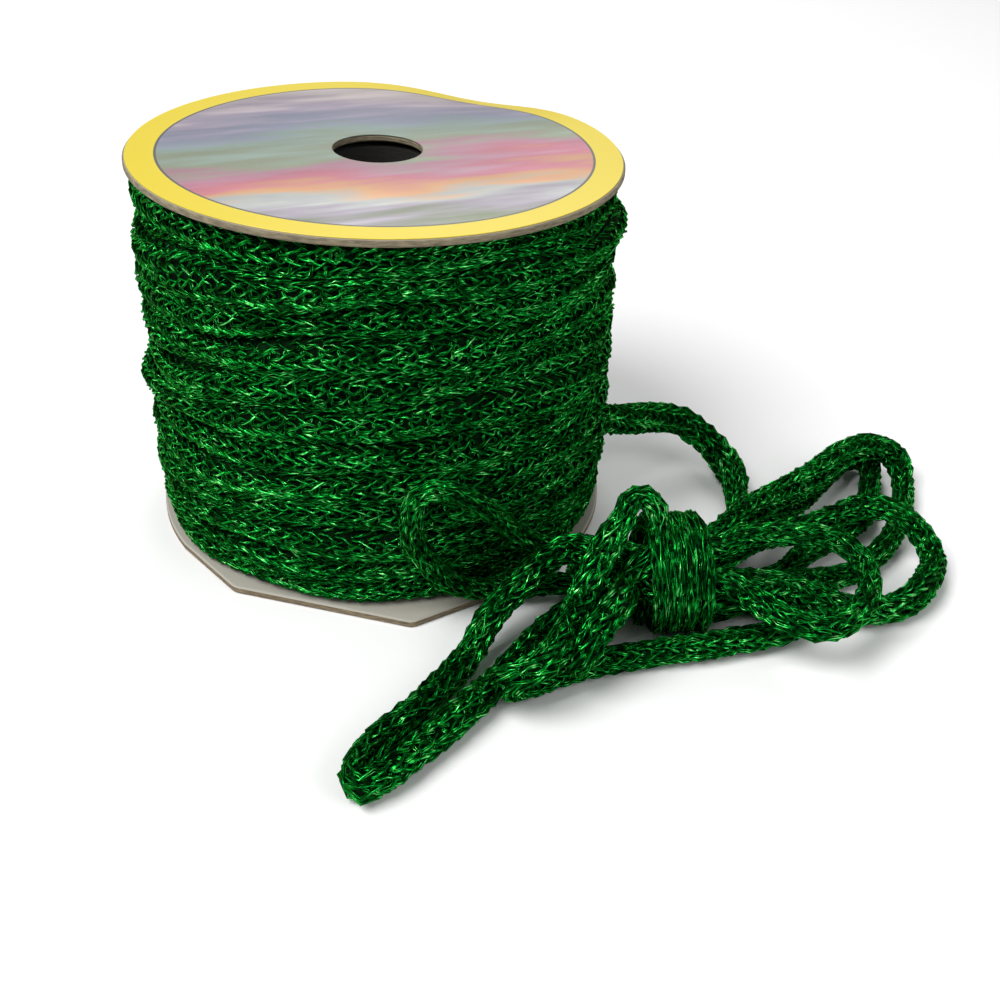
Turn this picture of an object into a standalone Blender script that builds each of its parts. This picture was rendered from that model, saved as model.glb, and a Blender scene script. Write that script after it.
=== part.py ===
"""Spool of metallic knitted cord, standing on its lower flange.

A paper tube carries two greyboard discs, the upper one with a printed disc on top. The cord is wound
between them in uneven turns. Its loose end leaves the roll, arcs down to the surface and ends in a hank
of open loops, bound round its waist with the cord itself.

Sizes are in millimetres and become metres in mm(). The origin is on the surface, on the spool's axis.
+Z is up and +X is the side where the loose end leaves.
"""

import math

import bmesh
import bpy
import numpy as np
from mathutils import Vector

OBJECT_NAME = "cord_spool"
GAP = 0.3

# The boards
FLANGE_RADIUS = 45.0
HOLE_RADIUS = 8.2
TOP_BOARD = 1.5
BOTTOM_BOARD = 1.6
LABEL_RADIUS = 44.6
LABEL_SHEET = 0.4
TOP_HEIGHT = 73.0
# Rise of the upper board for each millimetre of x and y: it sits a little askew.
LEAN_X = -0.018
LEAN_Y = -0.045
# The lower board is creased at two corners, with straight edges beside them: angle in degrees, radius.
CORNERS = [(-128.0, 46.2), (-84.5, 48.4)]
STRAIGHT_FROM = -150.0
STRAIGHT_TO = -58.0

# The paper tube
TUBE_RADIUS = 10.5
TUBE_BORE = 8.5

# The wound cord
ROLL_BORE = TUBE_RADIUS + GAP
GROOVE_DEPTH = 2.4
ROLL_STEPS = 60
# Grooves between the turns, from the top: height at the front, left, right and back of the roll.
GROOVES = [
    (68.0, 63.0, 64.0, 62.5),
    (62.4, 54.2, 58.6, 57.0),
    (56.8, 47.2, 53.0, 51.5),
    (50.4, 41.0, 46.4, 45.5),
    (43.9, 35.0, 40.2, 39.5),
    (37.3, 29.6, 34.2, 34.0),
    (30.7, 24.4, 28.0, 28.5),
    (24.5, 19.0, 21.4, 22.5),
    (18.5, 13.7, 15.2, 17.0),
    (12.8, 9.4, 10.4, 11.7),
    (7.2, 5.5, 6.0, 6.6),
]
# Radius of each turn at its ridge, from the top.
RIDGES = [44.3, 45.6, 44.7, 45.2, 44.6, 45.7, 44.9, 45.3, 44.8, 45.5, 44.6, 44.0]
RIDGE_WAVE = 0.35
# How much further the turns bulge behind.
BACK_BULGE = 1.0

# The loose cord. Each list is one stretch of the route, in order, and runs on to the next one's start.
CORD_RADIUS = 2.8
LEAD_GAP = 0.6
FLOOR_GAP = 0.1
# A tube's longest straight step, and the largest turn in degrees that a step may add to.
LONGEST_STEP = 14.0
LARGEST_TURN = 32.0
SAMPLES = 24
# The turn of the roll, counted from the top, that the lead comes from.
LEAD_TURN = 8
LEAD = [
    (40.5, -14.5, 22), (43.5, -9, 20.5), (48, -5.5, 18), (56, 1, 14.5), (63, 5.5, 11), (69, 3.5, 7.5),
    (72, 0.5, 5), (73.5, -6, 3.5),
]
LEAD_END = [(73, -11, 3), (72, -17.5, 3), (69, -26.5, 3), (61.5, -35, 4.5)]
PEAK = [(48, -47.5, 23.5), (47, -46.3, 25.8), (45, -45.6, 26.9), (43, -46.5, 26.4), (41.8, -48.7, 24.9)]
SHOULDER = [
    (39, -51.5, 22), (35.5, -55.5, 17), (33, -59, 13), (29.5, -66, 11.5), (25.5, -71.5, 11),
    (21, -72.5, 9.5), (20, -71.5, 7),
]
FLOOR_STRAND = [
    (21.5, -69, 4), (26, -66.5, 3), (32, -64, 3), (41, -61.5, 3), (48, -60, 3), (55.5, -59, 3),
    (63, -57.5, 3), (71.5, -55.5, 3), (75, -52.5, 3),
]
FLOOR_RETURN = [(73.5, -49, 3), (66, -48.5, 4), (60, -51, 4.5), (52, -50.5, 4.5)]
LEANING_OUT = [
    (44, -49, 4.5), (36, -42.5, 5), (27.5, -41.5, 4), (21, -42, 4), (15.5, -43.5, 5.5), (11, -46, 9),
    (7.5, -48, 15), (5, -49, 20.5), (4.5, -50.5, 26.5),
]
LEANING_BACK = [
    (5.5, -51, 31), (9, -51, 32.5), (13.5, -49.5, 30), (19, -46.5, 24), (24.5, -44, 17.5),
    (31, -42.5, 13), (39.5, -42, 11), (46, -44, 12.5), (52, -43, 12.5),
]
FAR_LOOP_OUT = [
    (60, -42, 14), (68.5, -33.5, 14.5), (77, -25, 12), (87, -16, 11), (97, -7, 10.5), (105.5, -2, 8),
    (109.5, -3, 5.5),
]
FAR_LOOP_BACK = [
    (109.5, -9, 2.5), (105, -20.5, 2.5), (99, -30, 2.5), (91, -37.5, 2.5), (81, -42, 4),
    (69.5, -44.5, 6.5), (60, -48, 9), (52, -48, 9),
]
LONG_LOOP_OUT = [
    (39, -46.5, 15), (33.5, -44, 14.5), (28.5, -46, 13), (24, -50, 11), (18.5, -54, 7.5), (13.5, -61, 3),
    (5, -72.5, 3), (-2.5, -81, 3), (-5.5, -87.5, 3),
]
LONG_LOOP_BACK = [
    (-4.5, -90, 3), (-1.5, -88, 3), (7, -80, 3), (15, -71, 3), (21.5, -63.5, 3.5), (27, -57, 4.5),
    (34, -51, 6), (45, -44, 9.5), (52, -43, 9.5),
]
INNER_LOOP_OUT = [(60, -42, 9), (70, -29, 8.5), (83, -18.5, 5), (92.5, -6.5, 3), (100.5, 1, 3)]
INNER_LOOP_BACK = [
    (104.5, 0, 2.5), (102, -9.5, 2.5), (98, -19.5, 2.5), (91.5, -25.5, 2.5), (81.5, -33, 3.5),
    (74, -41, 4.5), (60, -46, 5), (52, -45.5, 5),
]
HIDDEN_TURN_OUT = [(44, -45, 4.5), (39, -43, 3.5), (36, -39, 3.5)]
HIDDEN_TURN_BACK = [(38, -34.5, 5), (42.5, -37.5, 9), (46, -44, 12.5), (52, -48, 13)]
MIDDLE_LOOP_OUT = [
    (60, -47, 13.5), (68.5, -40, 12.5), (78, -35.5, 11), (87, -30.5, 10.5), (94, -26.5, 10),
    (99.5, -28.5, 10), (105, -31, 6.5), (107, -34.5, 3),
]
MIDDLE_LOOP_BACK = [
    (103.5, -41.5, 3), (97, -48.5, 3), (90.5, -50.5, 3), (82.5, -50, 4.5), (73.5, -48, 7), (60, -53, 9.5),
    (52, -53, 9.5),
]
SHORT_LOOP_OUT = [(44, -51, 12), (40, -60, 14.5), (36, -64.5, 12.5), (33, -67.5, 9.5)]
SHORT_LOOP_BACK = [
    (32.5, -65.5, 5.5), (35, -60, 3.5), (38.5, -54.5, 4.5), (42, -52, 9), (44.5, -51.5, 15.5),
    (52, -48, 17),
]
NEAR_LOOP_OUT = [
    (60, -48, 17), (65, -45, 17), (74.5, -43.5, 16), (83, -42.5, 14), (88, -45, 11), (88, -51, 10),
]
NEAR_LOOP_BACK = [
    (83.5, -58.5, 10), (77, -62.5, 9.5), (71, -61, 10), (65, -56, 11), (60, -53.5, 13), (53, -53, 13),
]
# The stretches in order, each with its share of CORD_RADIUS: the cord is pulled thinner in some loops.
LEAD_STRETCHES = [(LEAD, 1.12), (LEAD_END, 0.86)]
WRAP_SHARE = 0.6
HANK_STRETCHES = [
    (PEAK, 0.76), (SHOULDER, 0.95), (FLOOR_STRAND, 0.88), (FLOOR_RETURN, 0.7), (LEANING_OUT, 0.74),
    (LEANING_BACK, 0.66), (FAR_LOOP_OUT, 1.0), (FAR_LOOP_BACK, 0.82), (LONG_LOOP_OUT, 0.94),
    (LONG_LOOP_BACK, 1.0), (INNER_LOOP_OUT, 0.87), (INNER_LOOP_BACK, 0.83), (HIDDEN_TURN_OUT, 0.8),
    (HIDDEN_TURN_BACK, 0.75), (MIDDLE_LOOP_OUT, 0.88), (MIDDLE_LOOP_BACK, 0.98), (SHORT_LOOP_OUT, 0.98),
    (SHORT_LOOP_BACK, 0.9), (NEAR_LOOP_OUT, 0.76), (NEAR_LOOP_BACK, 0.88),
]

# The turns that bind the hank's waist
WAIST_X = 52.0
WAIST_Y = -48.0
WAIST_HEIGHT = 11.5
WRAP_RADIUS = 9.3
WRAP_TURNS = 4.3
WRAP_PITCH = 2.7
WRAP_START_X = 57.5
WRAP_RIDGE = 11.3
WRAP_GROOVE = 10.3
WRAP_NECK = 7.2
NECK_LENGTH = 3.0
POINTS_PER_TURN = 14

BOARD_COLOUR = (0.42, 0.38, 0.31)
TUBE_COLOUR = (0.05, 0.045, 0.035)
LABEL_COLOUR = (0.79, 0.65, 0.06)
CORD_COLOUR = (0.01, 0.17, 0.025)


def mm(point):
    """A point in metres from one in millimetres."""
    return tuple(value / 1000.0 for value in point)


def lean_height(x, y):
    """How far the upper board's plane stands above its centre at x, y."""
    return LEAN_X * x + LEAN_Y * y


def clear_scene():
    for old in list(bpy.data.objects):
        bpy.data.objects.remove(old, do_unlink=True)


def make_collection(name):
    collection = bpy.data.collections.new(name)
    bpy.context.scene.collection.children.link(collection)
    return collection


def make_material(name, colour, roughness, metallic):
    material = bpy.data.materials.new(name)
    material.use_nodes = True
    shader = material.node_tree.nodes["Principled BSDF"]
    shader.inputs["Base Color"].default_value = (*colour, 1.0)
    shader.inputs["Roughness"].default_value = roughness
    shader.inputs["Metallic"].default_value = metallic
    return material


def finish_part(part, collection, material, sharp_angle=40.0):
    """Puts an object in its collection with its material and smooth shading."""
    collection.objects.link(part)
    part.data.materials.append(material)
    if part.type == "MESH":
        part.data.shade_smooth()
        part.data.set_sharp_from_angle(angle=math.radians(sharp_angle))
    return part


def circle_points(radius, count):
    return [(radius * math.cos(2 * math.pi * i / count), radius * math.sin(2 * math.pi * i / count))
            for i in range(count)]


def on_circle(angle, radius):
    return (radius * math.cos(math.radians(angle)), radius * math.sin(math.radians(angle)))


def creased_outline():
    """The lower board: a circle with two corners that straight edges join."""
    points = [on_circle(STRAIGHT_FROM, FLANGE_RADIUS)]
    points += [on_circle(angle, radius) for angle, radius in CORNERS]
    steps = 54
    sweep = STRAIGHT_FROM + 360.0 - STRAIGHT_TO
    points += [on_circle(STRAIGHT_TO + sweep * i / steps, FLANGE_RADIUS) for i in range(steps)]
    return points


def make_board(name, outline, thickness, middle_height, leaning):
    """A flat board with the spool's centre hole, from its outline."""
    curve = bpy.data.curves.new(name, "CURVE")
    curve.dimensions = "2D"
    curve.fill_mode = "BOTH"
    curve.extrude = thickness / 2000.0
    for points in (outline, circle_points(HOLE_RADIUS, 32)):
        spline = curve.splines.new("POLY")
        spline.points.add(len(points) - 1)
        spline.use_cyclic_u = True
        for spot, (x, y) in zip(spline.points, points):
            spot.co = (*mm((x, y, 0.0)), 1.0)
    board = bpy.data.objects.new(name, curve)
    board.location = mm((0.0, 0.0, middle_height))
    if leaning:
        upright = Vector((0.0, 0.0, 1.0))
        board.rotation_mode = "QUATERNION"
        board.rotation_quaternion = upright.rotation_difference(Vector((-LEAN_X, -LEAN_Y, 1.0)))
    return board


def mesh_object(name, bm):
    mesh = bpy.data.meshes.new(name)
    bm.to_mesh(mesh)
    bm.free()
    return bpy.data.objects.new(name, mesh)


def make_tube_core(cutters):
    """The paper tube between the boards. Its upper end follows the leaning board."""
    low = BOTTOM_BOARD + GAP
    high = roof_height()
    bm = bmesh.new()
    bmesh.ops.create_cone(bm, cap_ends=True, segments=40, radius1=TUBE_RADIUS / 1000.0,
                          radius2=TUBE_RADIUS / 1000.0, depth=(high - low) / 1000.0)
    bmesh.ops.translate(bm, verts=bm.verts, vec=mm((0.0, 0.0, (high + low) / 2)))
    for vertex in bm.verts:
        if vertex.co.z * 1000.0 > low + 1.0:
            vertex.co.z += LEAN_X * vertex.co.x + LEAN_Y * vertex.co.y
    core = mesh_object("core", bm)
    bm = bmesh.new()
    bmesh.ops.create_cone(bm, cap_ends=True, segments=40, radius1=TUBE_BORE / 1000.0,
                          radius2=TUBE_BORE / 1000.0, depth=2 * TOP_HEIGHT / 1000.0)
    bore = mesh_object("core_bore", bm)
    bore.location = mm((0.0, 0.0, TOP_HEIGHT / 2))
    hide_cutter(bore, cutters)
    cut = core.modifiers.new("bore", "BOOLEAN")
    cut.operation = "DIFFERENCE"
    cut.solver = "EXACT"
    cut.object = bore
    return core


def hide_cutter(cutter, cutters):
    cutters.objects.link(cutter)
    cutter.hide_render = True
    cutter.display_type = "WIRE"


def roof_height():
    """Height on the axis that what lies under the upper board reaches."""
    return TOP_HEIGHT - LABEL_SHEET - GAP - TOP_BOARD - GAP


def groove_height(row, angle):
    """Height of a groove at an angle, from its heights at the front, left, right and back."""
    front, left, right, back = row
    middle = (front + left + right + back) / 4
    across = (right - left) / 2
    along = (back - front) / 2
    twist = (right + left - front - back) / 4
    return middle + across * math.cos(angle) + along * math.sin(angle) + twist * math.cos(2 * angle)


def ridge_radius(turn, angle):
    bulge = BACK_BULGE * max(math.sin(angle), 0.0)
    return RIDGES[turn] + bulge + RIDGE_WAVE * math.sin(3 * angle + 2.1 * turn)


def roll_rings():
    """Rings of points down the outside of the roll, each as a list of (angle, radius, height) rows."""
    low = BOTTOM_BOARD + GAP
    angles = [2 * math.pi * i / ROLL_STEPS for i in range(ROLL_STEPS)]
    bounds = []
    for angle in angles:
        edge = FLANGE_RADIUS - GROOVE_DEPTH
        top = roof_height() + lean_height(edge * math.cos(angle), edge * math.sin(angle))
        bounds.append([top] + [groove_height(row, angle) for row in GROOVES] + [low])
    rings = []
    turns = len(RIDGES)
    for turn in range(turns):
        for part in (0.0, 0.15, 0.5, 0.85):
            ring = []
            for angle, edges in zip(angles, bounds):
                height = edges[turn] + (edges[turn + 1] - edges[turn]) * part
                above = ridge_radius(max(turn - 1, 0), angle)
                here = ridge_radius(turn, angle)
                below = ridge_radius(min(turn + 1, turns - 1), angle)
                groove = ((above + here) * (1 - part) + (here + below) * part) / 2 - GROOVE_DEPTH
                radius = groove + (here - groove) * math.sqrt(4 * part * (1 - part))
                ring.append((radius * math.cos(angle), radius * math.sin(angle), height))
            rings.append(ring)
    foot = circle_points(RIDGES[-1] - GROOVE_DEPTH, ROLL_STEPS)
    rings.append([(x, y, low) for x, y in foot])
    return rings


def make_roll():
    """The wound cord as one body: uneven turns outside, a plain bore inside."""
    low = BOTTOM_BOARD + GAP
    bore = circle_points(ROLL_BORE, ROLL_STEPS)
    rings = roll_rings()
    rings.append([(x, y, low) for x, y in bore])
    rings.append([(x, y, roof_height() + lean_height(x, y)) for x, y in bore])
    bm = bmesh.new()
    rows = [[bm.verts.new(mm(point)) for point in ring] for ring in rings]
    for upper, lower in zip(rows, rows[1:] + rows[:1]):
        for i in range(ROLL_STEPS):
            j = (i + 1) % ROLL_STEPS
            bm.faces.new((upper[i], lower[i], lower[j], upper[j]))
    bmesh.ops.recalc_face_normals(bm, faces=bm.faces)
    return mesh_object("roll", bm)


def wrap_points():
    """The binding turns: from behind, under the waist, up its front and over, towards the left."""
    points = []
    for i in range(int(WRAP_TURNS * POINTS_PER_TURN) + 1):
        turned = i / POINTS_PER_TURN
        angle = math.pi + 2 * math.pi * turned
        points.append((
            WRAP_START_X - WRAP_PITCH * turned,
            WAIST_Y - WRAP_RADIUS * math.cos(angle),
            WAIST_HEIGHT + WRAP_RADIUS * math.sin(angle),
        ))
    return points


def with_radius(stretches):
    """Rows of x, y, z and the cord's radius for stretches of (points, share of CORD_RADIUS)."""
    return [(*point, share * CORD_RADIUS) for points, share in stretches for point in points]


def smooth_route(points):
    """A smooth curve through the rows, as a dense line with SAMPLES steps from each to the next."""
    points = np.array(points, dtype=float)
    steps = np.linalg.norm(np.diff(points[:, :3], axis=0), axis=1) ** 0.5
    knots = np.concatenate(([0.0], np.cumsum(steps)))
    slopes = np.gradient(points, knots, axis=0)
    t = np.linspace(0.0, 1.0, SAMPLES, endpoint=False)[:, None]
    curve = []
    for i, step in enumerate(steps):
        start = (2 * t**3 - 3 * t**2 + 1) * points[i] + (t**3 - 2 * t**2 + t) * step * slopes[i]
        end = (3 * t**2 - 2 * t**3) * points[i + 1] + (t**3 - t**2) * step * slopes[i + 1]
        curve.append(start + end)
    curve.append(points[-1:])
    return np.concatenate(curve)


def tube_points(curve, skip_start=0.0):
    """Points for a tube along a dense line: LONGEST_STEP apart on straights, closer where it bends."""
    moves = np.diff(curve[:, :3], axis=0)
    steps = np.linalg.norm(moves, axis=1)
    headings = moves / steps[:, None]
    turns = np.degrees(np.arccos(np.clip((headings[:-1] * headings[1:]).sum(axis=1), -1.0, 1.0)))
    effort = steps / LONGEST_STEP + np.append(turns, 0.0) / LARGEST_TURN
    along = np.concatenate(([0.0], np.cumsum(effort)))
    travelled = np.concatenate(([0.0], np.cumsum(steps)))
    begin = np.interp(skip_start, travelled, along)
    count = max(int(math.ceil(along[-1] - begin)), 2)
    places = np.linspace(begin, along[-1], count + 1)
    points = np.stack([np.interp(places, along, curve[:, axis]) for axis in range(4)], axis=1)
    points[:, 2] = np.maximum(points[:, 2], points[:, 3] + FLOOR_GAP)
    return points


def make_cord_curve(name, points):
    """A plain tube along the points, as a curve with filled caps."""
    curve = bpy.data.curves.new(name, "CURVE")
    curve.dimensions = "3D"
    curve.bevel_depth = CORD_RADIUS / 1000.0
    curve.bevel_resolution = 2
    curve.use_fill_caps = True
    curve.resolution_u = 1
    spline = curve.splines.new("POLY")
    spline.points.add(len(points) - 1)
    for spot, (x, y, z, radius) in zip(spline.points, points):
        spot.co = (*mm((x, y, z)), 1.0)
        spot.radius = radius / CORD_RADIUS
    return bpy.data.objects.new(name, curve)


def curve_to_mesh(source, collection):
    """Turns a tube into a closed mesh, so that it can be joined to another body."""
    collection.objects.link(source)
    bpy.context.view_layer.update()
    evaluated = source.evaluated_get(bpy.context.evaluated_depsgraph_get())
    mesh = bpy.data.meshes.new_from_object(evaluated)
    bm = bmesh.new()
    bm.from_mesh(mesh)
    bmesh.ops.remove_doubles(bm, verts=bm.verts, dist=0.000001)
    bm.to_mesh(mesh)
    bm.free()
    solid = bpy.data.objects.new(source.name + "_solid", mesh)
    solid.matrix_world = source.matrix_world
    bpy.data.objects.remove(source, do_unlink=True)
    return solid


def waist_profile():
    """Half outline of the bound waist along its length: a neck, the ridges of the turns, a neck."""
    length = WRAP_TURNS * WRAP_PITCH
    start = WRAP_START_X + WRAP_PITCH / 2 - WAIST_X
    ridges = int(WRAP_TURNS) + 1
    pitch = (length + WRAP_PITCH) / ridges
    profile = [(start + NECK_LENGTH, 0.0), (start + NECK_LENGTH, WRAP_NECK)]
    for i in range(ridges):
        for part, radius in ((0.1, WRAP_GROOVE), (0.5, WRAP_RIDGE), (0.9, WRAP_GROOVE)):
            profile.append((start - (i + part) * pitch, radius))
    end = start - ridges * pitch - NECK_LENGTH
    profile += [(end, WRAP_NECK), (end, 0.0)]
    return profile


def make_waist():
    """The bound waist as a turned body along X."""
    bm = bmesh.new()
    spots = [bm.verts.new(mm((along, 0.0, radius))) for along, radius in waist_profile()]
    for first, second in zip(spots, spots[1:]):
        bm.edges.new((first, second))
    bmesh.ops.spin(bm, geom=bm.verts[:] + bm.edges[:], axis=(1.0, 0.0, 0.0), cent=(0.0, 0.0, 0.0),
                   angle=2 * math.pi, steps=20, use_merge=True)
    bmesh.ops.remove_doubles(bm, verts=bm.verts, dist=0.000001)
    bmesh.ops.recalc_face_normals(bm, faces=bm.faces)
    waist = mesh_object("hank", bm)
    waist.location = mm((WAIST_X, WAIST_Y, WAIST_HEIGHT))
    return waist


def make_loose_cord(cutters):
    """The lead from the roll to the hank, and the hank's loops joined to its bound waist."""
    wrap = wrap_points()
    stretches = LEAD_STRETCHES + [(wrap, WRAP_SHARE)] + HANK_STRETCHES
    route = smooth_route(with_radius(stretches))
    hank_start = len(LEAD) * SAMPLES
    wrap_start = (len(LEAD) + len(LEAD_END)) * SAMPLES
    wrap_end = wrap_start + (len(wrap) - 1) * SAMPLES

    free = route[:hank_start + 1]
    outside = np.hypot(free[:, 0], free[:, 1]) > RIDGES[LEAD_TURN] + free[:, 3] + GAP
    clear = free[np.argmax(outside):]
    lead = make_cord_curve("lead", tube_points(clear))

    hank = make_waist()
    tucked = tube_points(route[hank_start:wrap_start + 1], LEAD_GAP)
    looped = tube_points(route[wrap_end:])
    for name, line in (("tucked", tucked), ("looped", looped)):
        solid = curve_to_mesh(make_cord_curve(name, line), cutters)
        hide_cutter(solid, cutters)
        join = hank.modifiers.new(name, "BOOLEAN")
        join.operation = "UNION"
        join.solver = "EXACT"
        join.use_self = True
        join.object = solid
    return lead, hank


def build():
    clear_scene()
    parts = make_collection(OBJECT_NAME)
    cutters = make_collection("cutters")
    board = make_material("greyboard", BOARD_COLOUR, 0.85, 0.0)
    paper = make_material("printed_paper", LABEL_COLOUR, 0.45, 0.0)
    tube = make_material("paper_tube", TUBE_COLOUR, 0.9, 0.0)
    lower = make_material("greyboard_lower", BOARD_COLOUR, 0.85, 0.0)
    wound = make_material("wound_cord", CORD_COLOUR, 0.4, 0.6)
    loose = make_material("loose_cord", CORD_COLOUR, 0.4, 0.6)
    looped = make_material("looped_cord", CORD_COLOUR, 0.4, 0.6)

    label_height = TOP_HEIGHT - LABEL_SHEET / 2
    board_height = TOP_HEIGHT - LABEL_SHEET - GAP - TOP_BOARD / 2
    top = make_board("flange_top", circle_points(FLANGE_RADIUS, 72), TOP_BOARD, board_height, True)
    label = make_board("label", circle_points(LABEL_RADIUS, 72), LABEL_SHEET, label_height, True)
    bottom = make_board("flange_bottom", creased_outline(), BOTTOM_BOARD, BOTTOM_BOARD / 2, False)
    finish_part(top, parts, board)
    finish_part(label, parts, paper)
    finish_part(bottom, parts, lower)
    finish_part(make_tube_core(cutters), parts, tube)
    finish_part(make_roll(), parts, wound, 60.0)
    lead, hank = make_loose_cord(cutters)
    finish_part(lead, parts, loose)
    finish_part(hank, parts, looped, 60.0)


build()
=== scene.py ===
"""Looks of the spool of metallic knitted cord: camera, knit, boards, printed disc, floor and light.

Every size is in millimetres and becomes metres in mm(). Sizes and routes repeat the CAD source's.
"""

import math

import bpy
import numpy as np
from mathutils import Matrix, Vector


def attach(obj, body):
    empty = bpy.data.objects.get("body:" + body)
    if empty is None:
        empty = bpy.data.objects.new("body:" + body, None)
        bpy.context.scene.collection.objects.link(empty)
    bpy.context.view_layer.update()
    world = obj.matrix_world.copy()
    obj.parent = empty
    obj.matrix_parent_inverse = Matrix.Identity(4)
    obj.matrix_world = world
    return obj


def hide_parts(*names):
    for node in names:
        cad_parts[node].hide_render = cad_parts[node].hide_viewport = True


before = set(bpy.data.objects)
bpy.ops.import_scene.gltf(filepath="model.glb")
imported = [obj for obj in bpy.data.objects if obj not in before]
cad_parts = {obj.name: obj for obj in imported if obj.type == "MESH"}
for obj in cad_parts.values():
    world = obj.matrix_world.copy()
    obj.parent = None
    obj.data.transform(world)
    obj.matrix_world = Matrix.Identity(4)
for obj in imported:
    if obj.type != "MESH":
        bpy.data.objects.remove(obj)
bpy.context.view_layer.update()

# The camera: its place, its angles in degrees and its lens
CAMERA_PLACE = (0.0, -239.7, 161.2)
CAMERA_YAW = 5.91
CAMERA_PITCH = 34.62
CAMERA_ROLL = 2.26
FOCAL_LENGTH = 48.92
SENSOR_WIDTH = 36.0

# The lights: name, place, width and power in watts
LIGHTS = [
    ("key", (-420.0, -270.0, 720.0), 600.0, 7.9),
    ("right", (600.0, -450.0, 500.0), 600.0, 2.2),
    ("behind", (100.0, 600.0, 600.0), 500.0, 2.5),
]
LIGHTS_AIM = (20.0, -20.0, 30.0)
SKY_STRENGTH = 0.25
FLOOR_SIZE = 8000.0
FLOOR_COLOUR = (0.9, 0.9, 0.9)

# The boards. GAP is the space between neighbouring solids.
FLANGE_RADIUS = 45.0
HOLE_RADIUS = 8.2
GAP = 0.3
BOTTOM_BOARD = 1.6
LABEL_RADIUS = 44.6
TOP_HEIGHT = 73.0
BOARD_STEPS = 144
CREASED_STEPS = 288
# An edge is sharp where its faces turn by more than this, in degrees.
SHARP_TURN = 35.0
# The upper board and its print as they look, pressed together: thinner than their solids
BOARD_SEEN = 1.25
LABEL_SEEN = 0.15
PASTE = 0.02
BOARD_ROUNDING = 0.3
LABEL_ROUNDING = 0.05
# The lean of the upper board, as its rise for each millimetre along X and Y
LEAN_X = -0.018
LEAN_Y = -0.045
# The lower board's creased corners, as angle in degrees and radius, and the ends of its straight edges
CORNERS = [(-128.0, 46.2), (-84.5, 48.4)]
STRAIGHT_FROM = -150.0
STRAIGHT_TO = -58.0
# The upper board's worn edge dips at its back right: how far, at which angle, over how many degrees.
DIP_DEPTH = 2.2
DIP_ANGLE = 62.0
DIP_WIDTH = 20.0

# The boards' colours: pale and dark fibre of the cut edge, and the face. A face is coloured this far down.
UPPER_BOARD_COLOURS = ((0.26, 0.22, 0.14), (0.1, 0.08, 0.05), (0.3, 0.26, 0.19))
LOWER_BOARD_COLOURS = ((0.26, 0.2, 0.12), (0.1, 0.075, 0.045), (0.38, 0.36, 0.31))
# The paper tube is coloured near black: painted shade inside the hole.
TUBE_PAINTED_SHADE_COLOURS = ((0.012, 0.011, 0.01), (0.005, 0.004, 0.003), (0.012, 0.011, 0.01))
UPPER_SKIN = 0.1
LOWER_SKIN = 0.3
# How fine the boards' fibre is along X, Y and Z, for each metre
BOARD_GRAIN = (500.0, 500.0, 3200.0)

# The print: a yellow ring, a thin dark line, and bands whose colours run from the front to the back
PRINT_RADIUS = 39.6
LINE_WIDTH = 0.45
LINE_COLOUR = (0.09, 0.09, 0.08)
RING_COLOUR = (0.66, 0.52, 0.02)
BANDS = [
    (0.0, (0.2, 0.24, 0.15)), (0.1, (0.34, 0.3, 0.36)), (0.18, (0.4, 0.42, 0.4)),
    (0.26, (0.56, 0.3, 0.14)), (0.34, (0.45, 0.14, 0.19)), (0.42, (0.36, 0.18, 0.24)),
    (0.5, (0.22, 0.25, 0.17)), (0.6, (0.2, 0.27, 0.24)), (0.7, (0.19, 0.2, 0.27)),
    (0.82, (0.27, 0.23, 0.29)), (0.93, (0.38, 0.33, 0.33)),
]
# Where the bands begin, how they step towards the back and to the right for each metre, and how they sway
BANDS_START = 0.07
BANDS_BACK = 11.5
BANDS_RIGHT = -4.2
BROAD_SCALE = (16.0, 42.0, 1.0)
BROAD_SWAY = 0.5
WISP_SCALE = (36.0, 240.0, 1.0)
WISP_TURN = -0.35
WISP_SWAY = 0.36
WISP_LIFT = [(0.3, (0.8, 0.8, 0.8)), (0.55, (1.0, 1.0, 1.0)), (0.75, (1.25, 1.25, 1.25))]

# The wound cord
TUBE_RADIUS = 10.5
ROLL_BORE = TUBE_RADIUS + GAP
GROOVE_DEPTH = 2.4
# Heights of each groove at the front, left, right and back
GROOVES = [
    (68.0, 63.0, 64.0, 62.5),
    (62.4, 54.2, 58.6, 57.0),
    (56.8, 47.2, 53.0, 51.5),
    (50.4, 41.0, 46.4, 45.5),
    (43.9, 35.0, 40.2, 39.5),
    (37.3, 29.6, 34.2, 34.0),
    (30.7, 24.4, 28.0, 28.5),
    (24.5, 19.0, 21.4, 22.5),
    (18.5, 13.7, 15.2, 17.0),
    (12.8, 9.4, 10.4, 11.7),
    (7.2, 5.5, 6.0, 6.6),
]
# Radius of each turn's ridge, then how it and the grooves vary round the roll
RIDGES = [44.3, 45.6, 44.7, 45.2, 44.6, 45.7, 44.9, 45.3, 44.8, 45.5, 44.6, 44.0]
RIDGE_WAVE = 0.35
RIDGE_RIPPLE = 0.3
GROOVE_WANDER = 0.5
BACK_BULGE = 1.0
BACKING_STEPS = 180
BACKING_ROWS = 8
BACKING_DEPTH = 1.5
TURNS_IN_A_PIECE = 3
# The knit wanders up and down its turn by this much of a wale, and starts further round on each next turn.
KNIT_WANDER = 0.5
KNIT_START = 0.37

# The knit: wales round a turn of the roll and how many fill its face, then the shape of a stitch
WALES_ON_A_TURN = 4
WALES_SEEN = 2.6
COURSES_ROUND = 90
SEGMENTS = 9
LOOP_LEAN = 0.34
LOOP_HEIGHT = 0.92
LOOP_DEPTH = 0.5
# How much each stitch differs across, in its height, along and outwards
SHAKE_ACROSS = 0.08
SHAKE_HEIGHT = 0.12
SHAKE_ALONG = 0.1
SHAKE_OUT = 0.3
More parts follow.
